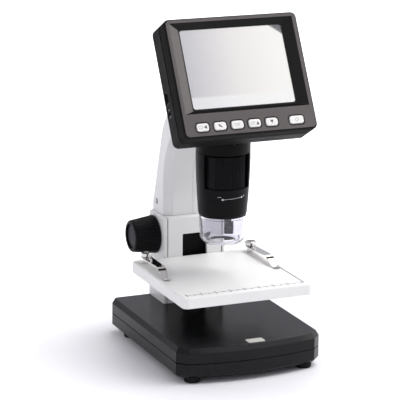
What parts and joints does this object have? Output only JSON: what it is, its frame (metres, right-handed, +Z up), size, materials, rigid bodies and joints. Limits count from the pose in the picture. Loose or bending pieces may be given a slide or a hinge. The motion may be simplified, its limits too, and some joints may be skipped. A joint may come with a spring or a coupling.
{
  "type": "lcd digital microscope",
  "caption": "Bench digital microscope with a tilted colour screen and keys, a curved arm, a barrel with a zoom ring and clear nose cup, and a clipped stage raised by a rack and knobs.",
  "frame": {"origin": "middle of the object's footprint, on the plane of the feet", "axes": "+X to the right as the user faces the screen, -Y towards the user, +Z up"},
  "size_m": [0.1, 0.13, 0.2258],
  "materials": {
    "base_gloss_black": "satin gloss",
    "plain_steel": "plated",
    "foot_rubber": "matte",
    "screw_steel": "plated",
    "white_shell": "satin",
    "polished_steel": "ground",
    "dark_moulding": "moulded",
    "bush_brass": "turned",
    "barrel_black": "fine satin",
    "dark_anodised": "black anodised",
    "board_green": "solder mask",
    "board_white": "solder mask",
    "lamp_lens": "clear moulded",
    "clear_plastic": "clear moulded",
    "white_stage": "satin",
    "gear_plastic": "moulded",
    "bright_chrome": "plated",
    "knob_black": "moulded",
    "cap_grey": "satin",
    "optical_glass": "polished",
    "head_grey": "satin paint",
    "panel_dark": "lit panel",
    "window_glass": "polished",
    "battery_wrap": "shrink film",
    "socket_metal": "plated",
    "button_white": "satin"
  },
  "bodies": {
    "stand": {"base_upper_shell": "base_gloss_black", "base_lower_shell": "base_gloss_black", "ballast_plate": "plain_steel", "rubber_feet": "foot_rubber", "base_screws": "screw_steel", "column_left_shell": "white_shell", "column_right_shell": "white_shell", "column_front_cover": "white_shell", "column_screws": "screw_steel", "guide_rods": "polished_steel", "guide_mounts": "dark_moulding", "shaft_bushes": "bush_brass", "arm_left_shell": "white_shell", "arm_right_shell": "white_shell", "arm_case_screws": "screw_steel", "barrel_shell": "barrel_black", "barrel_collar": "barrel_black", "barrel_core": "dark_anodised", "sensor_board": "board_green", "led_board": "board_white", "leds": "lamp_lens", "clear_cup": "clear_plastic", "hinge_bracket": "plain_steel", "hinge_pin": "polished_steel", "hinge_screws": "screw_steel"},
    "stage": {"stage_plate": "white_stage", "stage_carriage": "dark_moulding", "stage_rack": "gear_plastic", "carriage_bushes": "bush_brass", "stage_screws": "screw_steel", "clip_posts": "bright_chrome"},
    "clip_left_body": {"clip_left": "bright_chrome", "clip_screw_left": "bright_chrome"},
    "clip_right_body": {"clip_right": "bright_chrome", "clip_screw_right": "bright_chrome"},
    "focus_drive": {"focus_shaft": "polished_steel", "focus_pinion": "gear_plastic", "focus_knob_left": "knob_black", "focus_knob_right": "knob_black", "focus_knob_caps": "cap_grey"},
    "zoom": {"zoom_ring": "knob_black"},
    "lens": {"lens_carrier": "dark_anodised", "objective_lens": "optical_glass"},
    "screen": {"screen_bezel": "head_grey", "screen_rear_cover": "head_grey", "display_panel": "panel_dark", "display_window": "window_glass", "main_board": "board_green", "battery_pack": "battery_wrap", "keypad_board": "board_green", "side_sockets": "socket_metal", "screen_case_screws": "screw_steel", "hinge_knuckles": "plain_steel"},
    "key_left": {"button_left": "button_white"},
    "key_flip": {"button_flip": "button_white"},
    "key_ok": {"button_ok": "button_white"},
    "key_menu": {"button_menu": "button_white"},
    "key_down": {"button_down": "button_white"},
    "key_power": {"button_power": "button_white"}
  },
  "joints": [
    {"name": "stage_slide", "type": "slide", "parent": "stand", "child": "stage", "axis": [0, 0, 1], "range_m": [-0.012, 0.012]},
    {"name": "focus_turn", "type": "hinge", "parent": "stand", "child": "focus_drive", "pos_m": [0, 0.0521, 0.0679], "axis": [-1, 0, 0], "range_deg": [-145, 145]},
    {"name": "clip_left_swivel", "type": "hinge", "parent": "stage", "child": "clip_left_body", "pos_m": [-0.0377, 0.02815, 0.059], "axis": [0, 0, 1], "range_deg": [-30, 50]},
    {"name": "clip_right_swivel", "type": "hinge", "parent": "stage", "child": "clip_right_body", "pos_m": [0.0377, 0.02815, 0.059], "axis": [0, 0, -1], "range_deg": [-30, 50]},
    {"name": "zoom_turn", "type": "hinge", "parent": "stand", "child": "zoom", "pos_m": [0, -0.00945, 0.125], "axis": [0, 0, 1], "range_deg": [-11, 15]},
    {"name": "lens_slide", "type": "slide", "parent": "stand", "child": "lens", "axis": [0, 0, 1], "range_m": [-0.0016, 0.0022]},
    {"name": "screen_tilt", "type": "hinge", "parent": "stand", "child": "screen", "pos_m": [0, -0.01723, 0.16306], "axis": [-1, 0, 0], "range_deg": [-8, 45]},
    {"name": "press_left", "type": "slide", "parent": "screen", "child": "key_left", "axis": [0, 0.8777, -0.4792], "range_m": [0, 0.0006], "stiffness_N_per_m": 600, "springref_m": -0.0003},
    {"name": "press_flip", "type": "slide", "parent": "screen", "child": "key_flip", "axis": [0, 0.8777, -0.4792], "range_m": [0, 0.0006], "stiffness_N_per_m": 600, "springref_m": -0.0003},
    {"name": "press_ok", "type": "slide", "parent": "screen", "child": "key_ok", "axis": [0, 0.8777, -0.4792], "range_m": [0, 0.0006], "stiffness_N_per_m": 600, "springref_m": -0.0003},
    {"name": "press_menu", "type": "slide", "parent": "screen", "child": "key_menu", "axis": [0, 0.8777, -0.4792], "range_m": [0, 0.0006], "stiffness_N_per_m": 600, "springref_m": -0.0003},
    {"name": "press_down", "type": "slide", "parent": "screen", "child": "key_down", "axis": [0, 0.8777, -0.4792], "range_m": [0, 0.0006], "stiffness_N_per_m": 600, "springref_m": -0.0003},
    {"name": "press_power", "type": "slide", "parent": "screen", "child": "key_power", "axis": [0, 0.8777, -0.4792], "range_m": [0, 0.0006], "stiffness_N_per_m": 600, "springref_m": -0.0003}
  ],
  "couplings": [
    {"joint": "focus_turn", "follows": "stage_slide", "rad_per_m": 208.33},
    {"joint": "zoom_turn", "follows": "lens_slide", "rad_per_m": 117.65}
  ]
}
